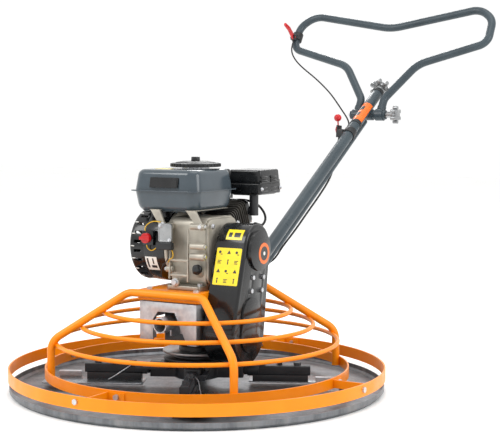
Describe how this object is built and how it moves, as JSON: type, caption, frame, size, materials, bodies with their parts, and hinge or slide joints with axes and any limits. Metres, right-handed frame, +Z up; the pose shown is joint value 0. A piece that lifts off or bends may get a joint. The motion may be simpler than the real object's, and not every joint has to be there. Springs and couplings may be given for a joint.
{
  "type": "power trowel",
  "caption": "Walk-behind power trowel: ring-guarded rotor with float pan and tilting arms, small engine with belt drive, and an angled mast with a bow handle.",
  "frame": {"origin": "centre of the float pan's underside, on the rotor axis and on the floor", "axes": "+Z up along the rotor axis; +Y towards the handle and operator; +X the belt cover side"},
  "size_m": [0.9882, 1.7869, 1.0727],
  "materials": {
    "pan_steel": "rolled steel sheet, lightly worn",
    "zinc_plate": "zinc plated steel",
    "black_iron": "black painted casting",
    "bright_steel": "turned steel",
    "bronze": "bronze",
    "orange_paint": "gloss orange powder coat",
    "grey_iron": "painted grey casting",
    "belt_rubber": "black rubber",
    "black_paint": "gloss black paint",
    "cast_aluminium": "die-cast aluminium",
    "black_plastic": "moulded black plastic",
    "tank_paint": "gloss blue-grey paint",
    "red_plastic": "moulded red plastic",
    "grey_paint": "gloss dark grey powder coat"
  },
  "bodies": {
    "root": {"guard_outer_ring": "orange_paint", "guard_inner_ring": "orange_paint", "guard_spacers": "orange_paint", "frame_bolts": "zinc_plate", "guard_tubes": "orange_paint", "guard_hoops": "orange_paint", "engine_platform": "orange_paint", "base_bracket": "zinc_plate", "gearbox_case": "grey_iron", "v_belt": "belt_rubber", "belt_cover": "black_paint", "crankcase": "cast_aluminium", "crankcase_cover": "cast_aluminium", "fan_housing": "black_paint", "recoil_cover": "black_paint", "cylinder": "cast_aluminium", "cylinder_head": "cast_aluminium", "rocker_cover": "black_paint", "spark_plug": "belt_rubber", "carburettor": "cast_aluminium", "air_cleaner": "black_plastic", "muffler": "bright_steel", "muffler_guard": "black_paint", "fuel_tank": "tank_paint", "tank_brackets": "zinc_plate", "mast_tube": "grey_paint", "cross_tube": "grey_paint", "throttle_bracket": "black_plastic", "kill_cable": "belt_rubber", "throttle_cable": "belt_rubber"},
    "rotor": {"float_pan": "pan_steel", "pan_clips": "zinc_plate", "spider_hub": "black_iron", "output_shaft": "bright_steel", "worm_wheel": "bronze"},
    "collar": {"pressure_collar": "black_iron"},
    "worm": {"worm_shaft": "bright_steel", "driven_pulley": "grey_iron"},
    "crank": {"crankshaft": "bright_steel", "flywheel": "cast_aluminium", "clutch_pulley": "grey_iron"},
    "handle": {"handle_loop": "grey_paint", "kill_bracket": "black_plastic"},
    "kill_lever": {"kill_lever": "red_plastic"},
    "throttle_lever": {"throttle_lever": "red_plastic"},
    "clamp_knob": {"clamp_knob": "cast_aluminium"},
    "pitch_handwheel": {"pitch_handwheel": "cast_aluminium"},
    "starter_grip": {"starter_grip": "black_plastic"},
    "fuel_cap": {"fuel_cap": "black_plastic"},
    "oil_filler_cap": {"oil_filler_cap": "black_plastic"},
    "engine_switch": {"engine_switch": "red_plastic"},
    "choke_lever": {"choke_lever": "black_plastic"},
    "arm_1": {"trowel_arm_1": "black_iron", "trowel_blade_1": "zinc_plate"},
    "arm_2": {"trowel_arm_2": "black_iron", "trowel_blade_2": "zinc_plate"},
    "arm_3": {"trowel_arm_3": "black_iron", "trowel_blade_3": "zinc_plate"},
    "arm_4": {"trowel_arm_4": "black_iron", "trowel_blade_4": "zinc_plate"}
  },
  "joints": [
    {"name": "rotor_spin", "type": "hinge", "parent": "root", "child": "rotor", "pos_m": [0, 0, 0.05], "axis": [0, 0, -1], "continuous": true},
    {"name": "crank_spin", "type": "hinge", "parent": "root", "child": "crank", "pos_m": [0, 0, 0.374], "axis": [1, 0, 0], "continuous": true},
    {"name": "worm_spin", "type": "hinge", "parent": "root", "child": "worm", "pos_m": [0, -0.045, 0.165], "axis": [1, 0, 0], "continuous": true},
    {"name": "pitch_wheel_turn", "type": "hinge", "parent": "root", "child": "pitch_handwheel", "pos_m": [0, 1.145, 0.793], "axis": [0, 0.8554, 0.518], "range_deg": [0, 1440]},
    {"name": "collar_slide", "type": "slide", "parent": "root", "child": "collar", "axis": [0, 0, -1], "range_m": [0, 0.0037]},
    {"name": "handle_adjust", "type": "hinge", "parent": "root", "child": "handle", "pos_m": [0, 1.065, 0.716], "axis": [1, 0, 0], "range_deg": [-20, 1]},
    {"name": "kill_lever_squeeze", "type": "hinge", "parent": "handle", "child": "kill_lever", "pos_m": [-0.354, 1.20463, 0.98907], "axis": [1, 0, 0], "range_deg": [0, 22], "stiffness_Nm_per_rad": 0.6, "springref_deg": -17.19},
    {"name": "throttle_lever_turn", "type": "hinge", "parent": "root", "child": "throttle_lever", "pos_m": [-0.044, 0.92821, 0.66779], "axis": [1, 0, 0], "range_deg": [-30, 45]},
    {"name": "clamp_knob_turn", "type": "hinge", "parent": "root", "child": "clamp_knob", "pos_m": [0.088, 1.065, 0.716], "axis": [1, 0, 0], "range_deg": [-720, 0]},
    {"name": "starter_pull", "type": "slide", "parent": "root", "child": "starter_grip", "axis": [0, 0.9781, 0.2079], "range_m": [0, 0.45]},
    {"name": "fuel_cap_turn", "type": "hinge", "parent": "root", "child": "fuel_cap", "pos_m": [-0.018, 0.022, 0.577], "axis": [0, 0, 1], "range_deg": [0, 90]},
    {"name": "oil_cap_turn", "type": "hinge", "parent": "root", "child": "oil_filler_cap", "pos_m": [0.056, -0.074, 0.314], "axis": [0, -0.867, 0.4983], "range_deg": [0, 720]},
    {"name": "engine_switch_turn", "type": "hinge", "parent": "root", "child": "engine_switch", "pos_m": [-0.084, -0.112, 0.398], "axis": [0, -1, 0], "range_deg": [-60, 0]},
    {"name": "choke_turn", "type": "hinge", "parent": "root", "child": "choke_lever", "pos_m": [-0.092, 0.17, 0.436], "axis": [1, 0, 0], "range_deg": [0, 40]},
    {"name": "arm_tilt_1", "type": "hinge", "parent": "rotor", "child": "arm_1", "pos_m": [0.08988, 0.04384, 0.05], "axis": [-0.8988, -0.4384, 0], "range_deg": [0, 8.02]},
    {"name": "arm_tilt_2", "type": "hinge", "parent": "rotor", "child": "arm_2", "pos_m": [-0.04384, 0.08988, 0.05], "axis": [0.4384, -0.8988, 0], "range_deg": [0, 8.02]},
    {"name": "arm_tilt_3", "type": "hinge", "parent": "rotor", "child": "arm_3", "pos_m": [-0.08988, -0.04384, 0.05], "axis": [0.8988, 0.4384, 0], "range_deg": [0, 8.02]},
    {"name": "arm_tilt_4", "type": "hinge", "parent": "rotor", "child": "arm_4", "pos_m": [0.04384, -0.08988, 0.05], "axis": [-0.4384, 0.8988, 0], "range_deg": [0, 8.02]}
  ],
  "couplings": [
    {"joint": "worm_spin", "follows": "rotor_spin", "ratio": 30},
    {"joint": "crank_spin", "follows": "rotor_spin", "ratio": 46.667},
    {"joint": "collar_slide", "follows": "pitch_wheel_turn", "m_per_rad": 0.00014325},
    {"joint": "arm_tilt_1", "follows": "pitch_wheel_turn", "ratio": 0.0055555},
    {"joint": "arm_tilt_2", "follows": "pitch_wheel_turn", "ratio": 0.0055555},
    {"joint": "arm_tilt_3", "follows": "pitch_wheel_turn", "ratio": 0.0055555},
    {"joint": "arm_tilt_4", "follows": "pitch_wheel_turn", "ratio": 0.0055555}
  ]
}
